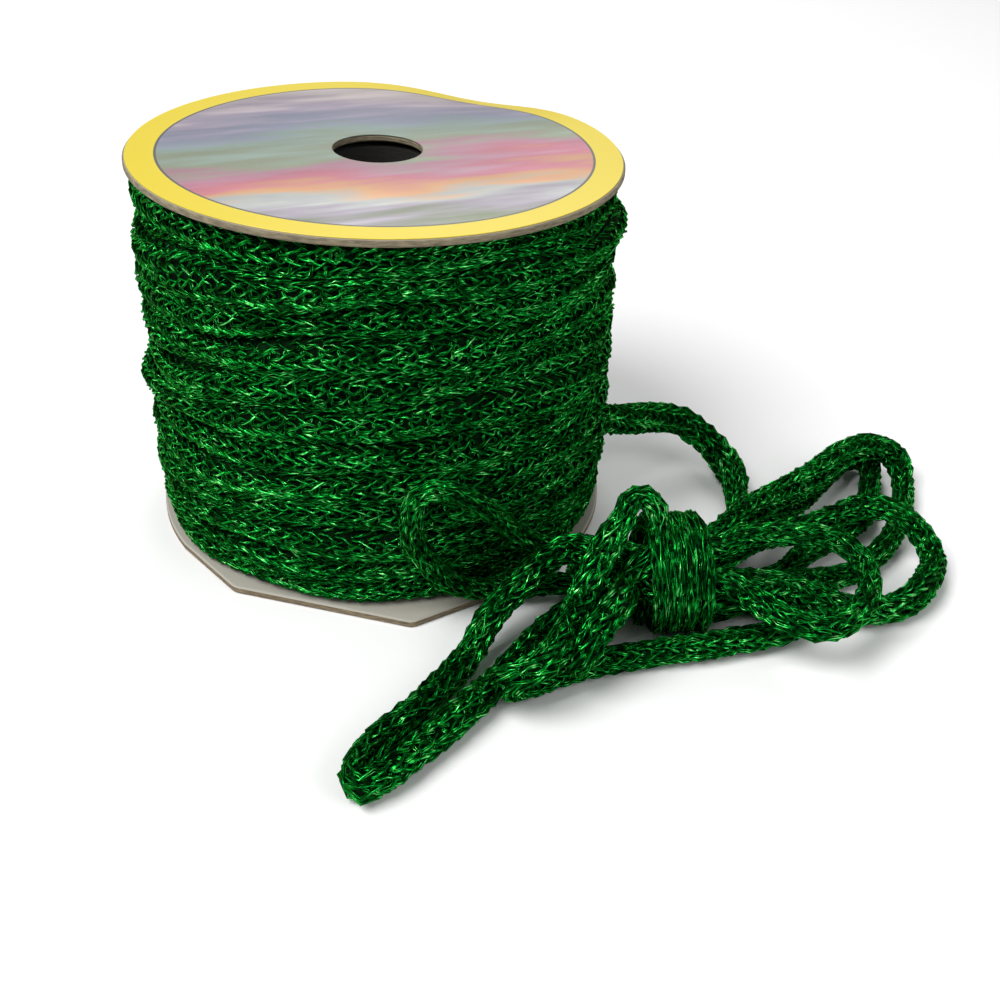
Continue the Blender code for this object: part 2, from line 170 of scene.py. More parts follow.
# The yarn: its plies, and how far its middle lies outside the cord's surface
PLIES = 2
PLY_SIDES = 3
PLY_RADIUS = 0.24
PLY_OFFSET = 0.2
YARN_LEVEL = -0.7
# Each course's yarn coordinates start this many stitches after the last one's.
CHART_SHIFT = 7.3

# The yarn's looks: filaments along its own coordinates, patches over the object, dark to bright. The
# brightest colours are painted glints.
YARN_ROUGHNESS = 0.3
YARN_METALLIC = 0.85
YARN_TINT = (0.15, 0.75, 0.25)
FILAMENT_SCALE = (13.0, 3.0, 1.0)
PATCH_SCALE = 220.0
PATCH_SHARE = 0.3
# Dark to mid greens are the yarn's own tone; the bright top of the ramp paints glints into the colour.
YARN_TONES_AND_PAINTED_GLINTS = [
    (0.5, (0.0, 0.014, 0.002)), (0.61, (0.0, 0.075, 0.007)), (0.71, (0.003, 0.24, 0.022)),
    (0.79, (0.03, 0.6, 0.09)), (0.87, (0.28, 0.95, 0.28)),
]
# The body under the stitches is coloured near black: painted shade where the yarn below lies in shadow.
BELOW_PAINTED_SHADE = [(0.35, (0.0, 0.003, 0.0)), (0.7, (0.0, 0.018, 0.002)), (0.85, (0.0, 0.05, 0.007))]
BELOW_SCALE = 900.0
# Strength and distance in metres of the relief
YARN_RELIEF = (0.9, 0.0004)
BOARD_RELIEF = (0.3, 0.0002)

# The loose cord
CORD_RADIUS = 2.8
FLOOR_GAP = 0.6
CORD_WALES = 5
COURSE_LENGTH = 3.2
CORD_TWIST = 150.0
# The yarn's thickness, and the share of it that a thinner stretch of cord keeps
CORD_YARN = 1.15
YARN_KEPT = 0.35
# The dark body inside the knit, coloured as painted shade: its share of the cord's radius in the middle and
# at its tips
BODY_SHARE = 0.6
BODY_TIP = 0.02
BODY_SIDES = 8
# The line has SAMPLES points from one route point to the next, then even steps. The body takes one in four.
SAMPLES = 24
LINE_STEP = 0.5
BODY_STEP = 4
LEAD = [
    (40.5, -14.5, 22), (43.5, -9, 20.5), (48, -5.5, 18), (56, 1, 14.5), (63, 5.5, 11), (69, 3.5, 7.5),
    (72, 0.5, 5), (73.5, -6, 3.5),
]
LEAD_END = [(73, -11, 3), (72, -17.5, 3), (69, -26.5, 3), (61.5, -35, 4.5)]
PEAK = [(48, -47.5, 23.5), (47, -46.3, 25.8), (45, -45.6, 26.9), (43, -46.5, 26.4), (41.8, -48.7, 24.9)]
SHOULDER = [
    (39, -51.5, 22), (35.5, -55.5, 17), (33, -59, 13), (29.5, -66, 11.5), (25.5, -71.5, 11),
    (21, -72.5, 9.5), (20, -71.5, 7),
]
FLOOR_STRAND = [
    (21.5, -69, 4), (26, -66.5, 3), (32, -64, 3), (41, -61.5, 3), (48, -60, 3), (55.5, -59, 3),
    (63, -57.5, 3), (71.5, -55.5, 3), (75, -52.5, 3),
]
FLOOR_RETURN = [(73.5, -49, 3), (66, -48.5, 4), (60, -51, 4.5), (52, -50.5, 4.5)]
LEANING_OUT = [
    (44, -49, 4.5), (36, -42.5, 5), (27.5, -41.5, 4), (21, -42, 4), (15.5, -43.5, 5.5), (11, -46, 9),
    (7.5, -48, 15), (5, -49, 20.5), (4.5, -50.5, 26.5),
]
LEANING_BACK = [
    (5.5, -51, 31), (9, -51, 32.5), (13.5, -49.5, 30), (19, -46.5, 24), (24.5, -44, 17.5),
    (31, -42.5, 13), (39.5, -42, 11), (46, -44, 12.5), (52, -43, 12.5),
]
FAR_LOOP_OUT = [
    (60, -42, 14), (68.5, -33.5, 14.5), (77, -25, 12), (87, -16, 11), (97, -7, 10.5), (105.5, -2, 8),
    (109.5, -3, 5.5),
]
FAR_LOOP_BACK = [
    (109.5, -9, 2.5), (105, -20.5, 2.5), (99, -30, 2.5), (91, -37.5, 2.5), (81, -42, 4),
    (69.5, -44.5, 6.5), (60, -48, 9), (52, -48, 9),
]
LONG_LOOP_OUT = [
    (39, -46.5, 15), (33.5, -44, 14.5), (28.5, -46, 13), (24, -50, 11), (18.5, -54, 7.5), (13.5, -61, 3),
    (5, -72.5, 3), (-2.5, -81, 3), (-5.5, -87.5, 3),
]
LONG_LOOP_BACK = [
    (-4.5, -90, 3), (-1.5, -88, 3), (7, -80, 3), (15, -71, 3), (21.5, -63.5, 3.5), (27, -57, 4.5),
    (34, -51, 6), (45, -44, 9.5), (52, -43, 9.5),
]
INNER_LOOP_OUT = [(60, -42, 9), (70, -29, 8.5), (83, -18.5, 5), (92.5, -6.5, 3), (100.5, 1, 3)]
INNER_LOOP_BACK = [
    (104.5, 0, 2.5), (102, -9.5, 2.5), (98, -19.5, 2.5), (91.5, -25.5, 2.5), (81.5, -33, 3.5),
    (74, -41, 4.5), (60, -46, 5), (52, -45.5, 5),
]
HIDDEN_TURN_OUT = [(44, -45, 4.5), (39, -43, 3.5), (36, -39, 3.5)]
HIDDEN_TURN_BACK = [(38, -34.5, 5), (42.5, -37.5, 9), (46, -44, 12.5), (52, -48, 13)]
MIDDLE_LOOP_OUT = [
    (60, -47, 13.5), (68.5, -40, 12.5), (78, -35.5, 11), (87, -30.5, 10.5), (94, -26.5, 10),
    (99.5, -28.5, 10), (105, -31, 6.5), (107, -34.5, 3),
]
MIDDLE_LOOP_BACK = [
    (103.5, -41.5, 3), (97, -48.5, 3), (90.5, -50.5, 3), (82.5, -50, 4.5), (73.5, -48, 7), (60, -53, 9.5),
    (52, -53, 9.5),
]
SHORT_LOOP_OUT = [(44, -51, 12), (40, -60, 14.5), (36, -64.5, 12.5), (33, -67.5, 9.5)]
SHORT_LOOP_BACK = [
    (32.5, -65.5, 5.5), (35, -60, 3.5), (38.5, -54.5, 4.5), (42, -52, 9), (44.5, -51.5, 15.5),
    (52, -48, 17),
]
NEAR_LOOP_OUT = [
    (60, -48, 17), (65, -45, 17), (74.5, -43.5, 16), (83, -42.5, 14), (88, -45, 11), (88, -51, 10),
]
NEAR_LOOP_BACK = [
    (83.5, -58.5, 10), (77, -62.5, 9.5), (71, -61, 10), (65, -56, 11), (60, -53.5, 13), (53, -53, 13),
]
# The stretches in order, each with its share of CORD_RADIUS: the cord is pulled thinner in some loops.
LEAD_STRETCHES = [(LEAD, 1.12), (LEAD_END, 0.86)]
WRAP_SHARE = 0.6
HANK_STRETCHES = [
    (PEAK, 0.76), (SHOULDER, 0.95), (FLOOR_STRAND, 0.88), (FLOOR_RETURN, 0.7), (LEANING_OUT, 0.74),
    (LEANING_BACK, 0.66), (FAR_LOOP_OUT, 1.0), (FAR_LOOP_BACK, 0.82), (LONG_LOOP_OUT, 0.94),
    (LONG_LOOP_BACK, 1.0), (INNER_LOOP_OUT, 0.87), (INNER_LOOP_BACK, 0.83), (HIDDEN_TURN_OUT, 0.8),
    (HIDDEN_TURN_BACK, 0.75), (MIDDLE_LOOP_OUT, 0.88), (MIDDLE_LOOP_BACK, 0.98), (SHORT_LOOP_OUT, 0.98),
    (SHORT_LOOP_BACK, 0.9), (NEAR_LOOP_OUT, 0.76), (NEAR_LOOP_BACK, 0.88),
]

# The turns that bind the waist: the middle of the waist, then the turns round it
WAIST = (52.0, -48.0, 11.5)
WRAP_RADIUS = 9.3
WRAP_TURNS = 4.3
WRAP_PITCH = 2.7
WRAP_START_X = 57.5
POINTS_PER_TURN = 14
# Their knit is pressed together along X, swells along Y and Z, and is stretched. It changes over FADE.
WRAP_SQUEEZE = (0.85, 1.2, 1.2)
WRAP_STRETCH = 1.6
FADE = 8.0

RANDOM = np.random.default_rng(11)


def mm(point):
    """A point in metres from one in millimetres."""
    return tuple(value / 1000.0 for value in point)


def unit(vectors):
    return vectors / np.linalg.norm(vectors, axis=-1, keepdims=True)


def smooth_step(value):
    value = np.clip(value, 0.0, 1.0)
    return value * value * (3.0 - 2.0 * value)


# Camera

def make_camera():
    yaw = math.radians(CAMERA_YAW)
    pitch = math.radians(CAMERA_PITCH)
    roll = math.radians(CAMERA_ROLL)
    forward = Vector((math.sin(yaw) * math.cos(pitch), math.cos(yaw) * math.cos(pitch), -math.sin(pitch)))
    level = Vector((math.cos(yaw), -math.sin(yaw), 0.0))
    raised = level.cross(forward)
    side = math.cos(roll) * level + math.sin(roll) * raised
    top = math.cos(roll) * raised - math.sin(roll) * level
    data = bpy.data.cameras.new("camera")
    data.sensor_width = SENSOR_WIDTH
    data.lens = FOCAL_LENGTH
    data.clip_start = 0.01
    data.clip_end = 20.0
    camera = bpy.data.objects.new("camera", data)
    bpy.context.scene.collection.objects.link(camera)
    turned = Matrix((side, top, -forward)).transposed().to_4x4()
    camera.matrix_world = Matrix.Translation(mm(CAMERA_PLACE)) @ turned
    bpy.context.scene.camera = camera


# Meshes

def add_mesh(name, points, faces, material, uvs=None, smooth=True):
    """A mesh object from points in millimetres. uvs are a row for each face corner, in order."""
    mesh = bpy.data.meshes.new(name)
    points = np.asarray(points, dtype=np.float32) / 1000.0
    faces = np.asarray(faces, dtype=np.int32)
    mesh.vertices.add(len(points))
    mesh.vertices.foreach_set("co", points.ravel())
    mesh.loops.add(faces.size)
    mesh.loops.foreach_set("vertex_index", faces.ravel())
    mesh.polygons.add(len(faces))
    mesh.polygons.foreach_set("loop_start", np.arange(0, faces.size, faces.shape[1], dtype=np.int32))
    mesh.update(calc_edges=True)
    if uvs is not None:
        layer = mesh.uv_layers.new(name="yarn")
        layer.uv.foreach_set("vector", np.asarray(uvs, dtype=np.float32).ravel())
    mesh.shade_smooth()
    if not smooth:
        mesh.set_sharp_from_angle(angle=math.radians(SHARP_TURN))
    mesh.materials.append(material)
    mesh.validate()
    piece = bpy.data.objects.new(name, mesh)
    bpy.context.scene.collection.objects.link(piece)
    return piece


def grid_corners(rows, columns, closed):
    """Corner pairs (row, column) of each quad between rings of points, not wrapped, shape (quads, 4, 2)."""
    row = np.arange(rows if closed else rows - 1)
    start = np.stack(np.meshgrid(row, np.arange(columns), indexing="ij"), axis=-1).reshape(-1, 1, 2)
    return start + np.array([[0, 0], [1, 0], [1, 1], [0, 1]])


def grid_faces(corners, rows, columns):
    return (corners[..., 0] % rows) * columns + corners[..., 1] % columns


def closed_rings_mesh(name, rings, material, smooth=True):
    """One mesh of rings of points, each joined to the next and the last to the first."""
    count, columns = len(rings), len(rings[0])
    faces = grid_faces(grid_corners(count, columns, True), count, columns)
    return add_mesh(name, np.concatenate(rings), faces, material, smooth=smooth)


# The knit

def stitch_rows(wales):
    """Across, along and out of the yarn over one course of plain knit, in wales, courses and depths."""
    step = np.arange(wales * SEGMENTS)
    turn = 2 * np.pi * step / SEGMENTS
    across = step / SEGMENTS + LOOP_LEAN * np.sin(2 * turn)
    along = -LOOP_HEIGHT * np.cos(turn)
    out = -np.cos(2 * turn)
    return across, along, out


def loosened(courses, wales):
    """Across, along and out for every course, with each stitch a little different."""
    across, along, out = (row[None, :] for row in stitch_rows(wales))
    head = np.sin(np.pi * (np.arange(wales * SEGMENTS) % SEGMENTS) / SEGMENTS) ** 2

    def shake(size):
        return np.repeat(RANDOM.normal(0.0, size, (courses, wales)), SEGMENTS, axis=1) * head

    across = across + shake(SHAKE_ACROSS)
    along = along * (1 + shake(SHAKE_HEIGHT)) + shake(SHAKE_ALONG)
    return across, np.arange(courses)[:, None] + along, out + shake(SHAKE_OUT)


def ring_points(middle, side, front, reach, sides):
    """A ring of points round each middle, in the plane of its side and front."""
    points = []
    for i in range(sides):
        turned = 2 * math.pi * i / sides
        points.append(middle + reach * (math.cos(turned) * side + math.sin(turned) * front))
    return np.stack(points, axis=-2)


def yarn_tubes(centre, outward, thickness, closed):
    """Twisted plies along lines of points (lines, rings, 3), each ply as points (lines, rings, sides, 3)."""
    if closed:
        heading = np.roll(centre, -1, axis=1) - np.roll(centre, 1, axis=1)
    else:
        heading = np.gradient(centre, axis=1)
    heading = unit(heading)
    side = unit(np.cross(heading, outward))
    front = np.cross(side, heading)
    lay = 2 * np.pi * np.arange(centre.shape[1]) / SEGMENTS
    plies = []
    for ply in range(PLIES):
        angle = (lay + 2 * np.pi * ply / PLIES)[None, :, None]
        middle = centre + thickness * PLY_OFFSET * (np.cos(angle) * side + np.sin(angle) * front)
        plies.append(ring_points(middle, side, front, thickness * PLY_RADIUS, PLY_SIDES))
    return plies


def tube_mesh(name, tubes, material, closed):
    """One mesh of yarn tubes, points (tubes, rings, sides, 3), with yarn coordinates as its UV map."""
    count, rings, sides = tubes.shape[:3]
    corners = grid_corners(rings, sides, closed)
    one = grid_faces(corners, rings, sides)
    faces = (np.arange(count)[:, None, None] * (rings * sides) + one[None]).reshape(-1, 4)
    chart = np.empty((count,) + corners.shape)
    chart[..., 0] = corners[..., 0] / SEGMENTS + CHART_SHIFT * np.arange(count)[:, None, None]
    chart[..., 1] = corners[..., 1] / sides
    return add_mesh(name, tubes.reshape(-1, 3), faces, material, chart.reshape(-1, 2))


# The roll

def lean_height(x, y):
    return LEAN_X * x + LEAN_Y * y


def roof_height():
    return TOP_HEIGHT - LABEL_SEEN - PASTE - BOARD_SEEN - GAP


def board_dip(angle, reach):
    """How far the upper board dips at its worn edge."""
    away = (np.degrees(angle) - DIP_ANGLE + 180) % 360 - 180
    return DIP_DEPTH * np.exp(-((away / DIP_WIDTH) ** 2)) * (reach / FLANGE_RADIUS) ** 4


def edge_height(edge, angle):
    """Height of the roll's top, of one of its grooves or of its foot."""
    if edge == 0:
        reach = FLANGE_RADIUS - GROOVE_DEPTH
        lean = lean_height(reach * np.cos(angle), reach * np.sin(angle))
        return roof_height() + lean - board_dip(angle, reach)
    if edge == len(RIDGES):
        return np.full_like(angle, BOTTOM_BOARD + GAP)
    front, left, right, back = GROOVES[edge - 1]
    middle = (front + left + right + back) / 4
    across = (right - left) / 2
    along = (back - front) / 2
    twist = (right + left - front - back) / 4
    wander = np.sin(5 * angle + 1.3 * edge) + 0.6 * np.sin(9 * angle + 4.1 * edge)
    level = middle + across * np.cos(angle) + along * np.sin(angle) + twist * np.cos(2 * angle)
    return level + GROOVE_WANDER * wander


def ridge_radius(turn, angle):
    bulge = BACK_BULGE * np.maximum(np.sin(angle), 0.0)
    wave = RIDGE_WAVE * np.sin(3 * angle + 2.1 * turn)
    return RIDGES[turn] + bulge + wave + RIDGE_RIPPLE * np.sin(8 * angle + 3.7 * turn)


def groove_depth(edge, angle):
    """Some creases between the turns are deep and some nearly closed."""
    share = 0.95 + 0.3 * np.sin(2 * angle + 1.9 * edge) + 0.22 * np.sin(6 * angle + 2.7 * edge)
    return GROOVE_DEPTH * share


def turn_surface(turn, swing, angle):
    """A point on a turn. swing goes round its section: 0 in the groove above, pi in the groove below."""
    part = (1 - np.cos(swing)) / 2
    upper = edge_height(turn, angle)
    lower = edge_height(turn + 1, angle)
    above = ridge_radius(max(turn - 1, 0), angle)
    here = ridge_radius(turn, angle)
    below = ridge_radius(min(turn + 1, len(RIDGES) - 1), angle)
    depth = groove_depth(turn, angle) * (1 - part) + groove_depth(turn + 1, angle) * part
    groove = ((above + here) * (1 - part) + (here + below) * part) / 2 - depth
    radius = groove + (here - groove) * np.sin(swing)
    height = upper + (lower - upper) * part
    return np.stack([radius * np.cos(angle), radius * np.sin(angle), height], axis=-1)


def knitted_turn(turn):
    """Yarn of the part of one turn that shows."""
    across, along, out = loosened(COURSES_ROUND, WALES_ON_A_TURN)
    angle = 2 * np.pi * (along + KNIT_START * turn) / COURSES_ROUND
    drift = KNIT_WANDER * np.sin(2 * angle + 1.7 * turn) - (WALES_ON_A_TURN - WALES_SEEN) / 2
    swing = np.pi * (across + drift) / WALES_SEEN
    step = 0.01
    down = turn_surface(turn, swing + step, angle) - turn_surface(turn, swing - step, angle)
    round_it = turn_surface(turn, swing, angle + step) - turn_surface(turn, swing, angle - step)
    outward = unit(np.cross(round_it, -down))
    level = YARN_LEVEL + LOOP_DEPTH * out
    centre = turn_surface(turn, swing, angle) + outward * level[..., None]
    return yarn_tubes(centre, outward, 1.0, False)


def make_roll_knit(material):
    pieces = []
    for first in range(0, len(RIDGES), TURNS_IN_A_PIECE):
        tubes = []
        for turn in range(first, min(first + TURNS_IN_A_PIECE, len(RIDGES))):
            tubes += knitted_turn(turn)
        name = f"roll_knit_{first // TURNS_IN_A_PIECE}"
        pieces.append(tube_mesh(name, np.concatenate(tubes), material, False))
    return pieces


def make_roll_backing(material):
    """What shows between the stitches: the turns below, as one body coloured as painted shade."""
    angle = 2 * np.pi * np.arange(BACKING_STEPS) / BACKING_STEPS
    rings = []
    for turn in range(len(RIDGES)):
        for swing in np.linspace(0.0, np.pi, BACKING_ROWS, endpoint=False):
            ring = turn_surface(turn, np.full_like(angle, swing), angle)
            ring[:, :2] *= 1 - BACKING_DEPTH / np.linalg.norm(ring[:, :2], axis=1, keepdims=True)
            rings.append(ring)
    foot = BOTTOM_BOARD + GAP
    circle = np.stack([np.cos(angle), np.sin(angle)], axis=1)
    for radius in (RIDGES[-1] - GROOVE_DEPTH - BACKING_DEPTH, ROLL_BORE):
        rings.append(np.column_stack([radius * circle, np.full(BACKING_STEPS, foot)]))
    inner = ROLL_BORE * circle
    rings.append(np.column_stack([inner, roof_height() + lean_height(inner[:, 0], inner[:, 1])]))
    return closed_rings_mesh("roll_body", rings, material)


# The loose cord

def wrap_points():
    points = []
    for i in range(int(WRAP_TURNS * POINTS_PER_TURN) + 1):
        turned = i / POINTS_PER_TURN
        angle = math.pi + 2 * math.pi * turned
        points.append((
            WRAP_START_X - WRAP_PITCH * turned,
            WAIST[1] - WRAP_RADIUS * math.cos(angle),
            WAIST[2] + WRAP_RADIUS * math.sin(angle),
        ))
    return points


def smooth_route(points):
    """A smooth curve through the rows, as a dense line with SAMPLES steps from each to the next."""
    points = np.array(points, dtype=float)
    steps = np.linalg.norm(np.diff(points[:, :3], axis=0), axis=1) ** 0.5
    knots = np.concatenate(([0.0], np.cumsum(steps)))
    slopes = np.gradient(points, knots, axis=0)
    t = np.linspace(0.0, 1.0, SAMPLES, endpoint=False)[:, None]
    curve = []
    for i, step in enumerate(steps):
        start = (2 * t**3 - 3 * t**2 + 1) * points[i] + (t**3 - 2 * t**2 + t) * step * slopes[i]
        end = (3 * t**2 - 2 * t**3) * points[i + 1] + (t**3 - t**2) * step * slopes[i + 1]
        curve.append(start + end)
    curve.append(points[-1:])
    return np.concatenate(curve)


def distances(line):
    return np.concatenate(([0.0], np.cumsum(np.linalg.norm(np.diff(line, axis=0), axis=1))))


def at_places(places, known, values):
    """Rows of values at places, where known is each row's own place."""
    return np.stack([np.interp(places, known, values[:, i]) for i in range(values.shape[1])], axis=-1)


def cord_line():
    """The loose cord's centreline and radius in even steps, and where its binding turns start and end."""
    wrap = wrap_points()
    stretches = LEAD_STRETCHES + [(wrap, WRAP_SHARE)] + HANK_STRETCHES
    dense = smooth_route([(*point, share * CORD_RADIUS) for points, share in stretches for point in points])
    dense[:, 2] = np.maximum(dense[:, 2], dense[:, 3] + FLOOR_GAP)
    travelled = distances(dense[:, :3])
    first = (len(LEAD) + len(LEAD_END)) * SAMPLES
    last = first + (len(wrap) - 1) * SAMPLES
    rows = at_places(np.arange(0.0, travelled[-1], LINE_STEP), travelled, dense)
    return rows[:, :3], rows[:, 3], (travelled[first], travelled[last])


def carried_frames(line):
    """Sides carried along the line without turning about it, and fronts square to them."""
    heading = unit(np.gradient(line, axis=0))
    side = np.empty_like(line)
    side[0] = unit(np.cross(heading[0], (0.0, 0.0, 1.0)))
    for i in range(1, len(line)):
        flat = side[i - 1] - heading[i] * np.dot(side[i - 1], heading[i])
        side[i] = flat / np.linalg.norm(flat)
    return side, np.cross(heading, side)


def make_cord_body(line, side, front, radius, squeeze, material):
    """What shows between the loose cord's stitches: its far side, as one body coloured as painted shade."""
    ends = np.minimum(np.arange(len(line)), np.arange(len(line))[::-1])[:, None] * LINE_STEP
    reach = radius[:, None] * squeeze * (BODY_TIP + BODY_SHARE * smooth_step(ends / CORD_RADIUS))
    tube = ring_points(line, side, front, reach, BODY_SIDES)[::BODY_STEP]
    return tube_mesh("cord_body", tube[None], material, False)


def make_cord(material, dark):
    """The loose cord as a knitted tube, one piece for each ply of its yarn, round a body coloured as painted
    shade.
    """
    line, radius, (start, end) = cord_line()
    travelled = distances(line)
    side, front = carried_frames(line)
    bound = smooth_step((travelled - start) / FADE + 1) * smooth_step((end - travelled) / FADE + 1)
    squeeze = 1 - (1 - np.array(WRAP_SQUEEZE)) * bound[:, None]
    courses_a_step = LINE_STEP / (COURSE_LENGTH * (1 + (WRAP_STRETCH - 1) * bound))
    course_at = distances(np.cumsum(courses_a_step)[:, None])
    # A loop reaches into the courses beside its own, so the knit stops short of both ends.
    across, along, out = loosened(int(course_at[-1]) - 2, CORD_WALES)
    places = np.interp(along + 1.5, course_at, travelled)
    point, sides, fronts, scale = (
        at_places(places, travelled, values) for values in (line, side, front, squeeze)
    )
    reach = np.interp(places, travelled, radius)
    angle = 2 * np.pi * (across / CORD_WALES + places / CORD_TWIST)
    outward = np.cos(angle)[..., None] * sides + np.sin(angle)[..., None] * fronts
    level = reach + (YARN_LEVEL + LOOP_DEPTH * out) * (reach / CORD_RADIUS)
    centre = point + scale * outward * level[..., None]
    thickness = CORD_YARN * (YARN_KEPT + (1 - YARN_KEPT) * reach[..., None] / CORD_RADIUS)
    plies = yarn_tubes(centre, outward, thickness, True)
    pieces = [tube_mesh(f"cord_ply_{i}", ply, material, True) for i, ply in enumerate(plies)]
    pieces.append(make_cord_body(line, side, front, radius, squeeze, dark))
    return pieces, line, travelled


# Boards

def board_outline(creased, count):
    """As many angles as count, and the board's radius at each."""
    angle = 2 * np.pi * np.arange(count) / count
    radius = np.full(count, FLANGE_RADIUS)
    if creased:
        marks = [(STRAIGHT_FROM, FLANGE_RADIUS), *CORNERS, (STRAIGHT_TO, FLANGE_RADIUS)]
        degrees = (np.degrees(angle) + 180) % 360 - 180
        for (start, inner), (end, outer) in zip(marks, marks[1:]):
            a = np.array([math.cos(math.radians(start)), math.sin(math.radians(start))]) * inner
            b = np.array([math.cos(math.radians(end)), math.sin(math.radians(end))]) * outer
            inside = (degrees >= start) & (degrees < end)
            ray = np.stack([np.cos(angle[inside]), np.sin(angle[inside])], axis=1)
            normal = np.array([b[1] - a[1], a[0] - b[0]])
            radius[inside] = (a @ normal) / (ray @ normal)
    return angle, radius


def make_disc(name, outline, thickness, middle, leaning, material, rounding=BOARD_ROUNDING):
    """A board or sheet with rounded edges and the centre hole, its middle at this height."""
    angle, radius = outline
    half = thickness / 2
    profile = [
        (0.0, half), (0.12, half), (0.5, half), (0.7, half), (0.85, half), (1.0, half),
        (1.0, half - rounding), (1.0, -half + rounding),
        (1.0, -half), (0.85, -half), (0.7, -half), (0.5, -half), (0.0, -half),
        (0.0, -half + rounding), (0.0, half - rounding),
    ]
    rings = []
    for share, height in profile:
        inset = 0.0
        if abs(height) == half and share in (0.0, 1.0):
            inset = rounding if share == 1.0 else -rounding
        reach = HOLE_RADIUS + (radius - HOLE_RADIUS) * share - inset
        level = height - board_dip(angle, reach) if leaning else np.full_like(angle, height)
        rings.append(np.column_stack([reach * np.cos(angle), reach * np.sin(angle), level]))
    board = closed_rings_mesh(name, rings, material, smooth=False)
    board.location = mm((0.0, 0.0, middle))
    if leaning:
        board.rotation_mode = "QUATERNION"
        upright = Vector((0.0, 0.0, 1.0))
        board.rotation_quaternion = upright.rotation_difference(Vector((-LEAN_X, -LEAN_Y, 1.0)))
    return board


# Materials

def new_material(name, roughness, metallic=0.0):
    material = bpy.data.materials.new(name)
    material.use_nodes = True
    shader = material.node_tree.nodes["Principled BSDF"]
    shader.inputs["Roughness"].default_value = roughness
    shader.inputs["Metallic"].default_value = metallic
    return material, material.node_tree, shader


def add_node(tree, kind, **values):
    node = tree.nodes.new(kind)
    for key, value in values.items():
        setattr(node, key, value)
    return node


def noise(tree, coordinates, scale, detail):
    node = add_node(tree, "ShaderNodeTexNoise")
    node.inputs["Scale"].default_value = scale
    node.inputs["Detail"].default_value = detail
    tree.links.new(coordinates, node.inputs["Vector"])
    return node.outputs["Fac"]


def ramp(tree, value, stops):
    """A colour ramp with stops of (place, colour)."""
    node = add_node(tree, "ShaderNodeValToRGB")
    elements = node.color_ramp.elements
    while len(elements) > 1:
        elements.remove(elements[-1])
    elements[0].position = stops[0][0]
    elements[0].color = (*stops[0][1], 1.0)
    for place, colour in stops[1:]:
        elements.new(place).color = (*colour, 1.0)
    tree.links.new(value, node.inputs["Fac"])
    return node.outputs["Color"]


def bump(tree, shader, height, strength, distance):
    node = add_node(tree, "ShaderNodeBump")
    node.inputs["Strength"].default_value = strength
    node.inputs["Distance"].default_value = distance
    tree.links.new(height, node.inputs["Height"])
    tree.links.new(node.outputs["Normal"], shader.inputs["Normal"])


def object_coordinates(tree):
    return add_node(tree, "ShaderNodeTexCoord").outputs["Object"]


def stretched(tree, coordinates, scale):
    """Coordinates scaled along each axis."""
    node = add_node(tree, "ShaderNodeMapping")
    node.inputs["Scale"].default_value = scale
    tree.links.new(coordinates, node.inputs["Vector"])
    return node.outputs["Vector"]


def rotated(tree, coordinates, angle):
    """Coordinates turned about Z."""
    node = add_node(tree, "ShaderNodeMapping")
    node.inputs["Rotation"].default_value = (0.0, 0.0, angle)
    tree.links.new(coordinates, node.inputs["Vector"])
    return node.outputs["Vector"]


def split(tree, coordinates):
    """The coordinates' own X, Y and Z."""
    node = add_node(tree, "ShaderNodeSeparateXYZ")
    tree.links.new(coordinates, node.inputs["Vector"])
    return node.outputs["X"], node.outputs["Y"], node.outputs["Z"]


def math_node(tree, operation, *values):
    """One step of arithmetic on sockets and numbers."""
    node = add_node(tree, "ShaderNodeMath", operation=operation)
    for socket, value in zip(node.inputs, values):
        if isinstance(value, (int, float)):
            socket.default_value = value
        else:
            tree.links.new(value, socket)
    return node.outputs["Value"]


def mix_colours(tree, share, first, second, blend="MIX"):
    """The first colour blended with a share of the second. Each is a socket or a colour."""
    node = add_node(tree, "ShaderNodeMix", data_type="RGBA", blend_type=blend)
    sockets = [socket for socket in node.inputs if socket.type == "RGBA"]
    if isinstance(share, (int, float)):
        node.inputs["Factor"].default_value = share
    else:
        tree.links.new(share, node.inputs["Factor"])
    for socket, value in zip(sockets, (first, second)):
        if isinstance(value, tuple):
            socket.default_value = (*value, 1.0)
        else:
            tree.links.new(value, socket)
    return next(socket for socket in node.outputs if socket.type == "RGBA")


def yarn_material():
    """Metallic yarn: dark green filaments along it, with short bright painted glints where the filament
    noise runs high.
    """
    material, tree, shader = new_material("metallic_yarn", YARN_ROUGHNESS, YARN_METALLIC)
    shader.inputs["Specular Tint"].default_value = (*YARN_TINT, 1.0)
    chart = add_node(tree, "ShaderNodeUVMap", uv_map="yarn").outputs["UV"]
    filaments = noise(tree, stretched(tree, chart, FILAMENT_SCALE), 1.0, 1.5)
    patches = noise(tree, object_coordinates(tree), PATCH_SCALE, 1.0)
    shade = math_node(tree, "MULTIPLY_ADD", patches, PATCH_SHARE, filaments)
    # The ramp's bright end paints glints into the base colour.
    tree.links.new(ramp(tree, shade, YARN_TONES_AND_PAINTED_GLINTS), shader.inputs["Base Color"])
    bump(tree, shader, filaments, *YARN_RELIEF)
    return material


def backing_material():
    """Painted shade: yarn coloured as if in shadow, for what shows between the stitches."""
    material, tree, shader = new_material("painted_shade_yarn", 0.9)
    shader.inputs["Specular IOR Level"].default_value = 0.1
    fine = noise(tree, object_coordinates(tree), BELOW_SCALE, 3.0)
    tree.links.new(ramp(tree, fine, BELOW_PAINTED_SHADE), shader.inputs["Base Color"])
    return material


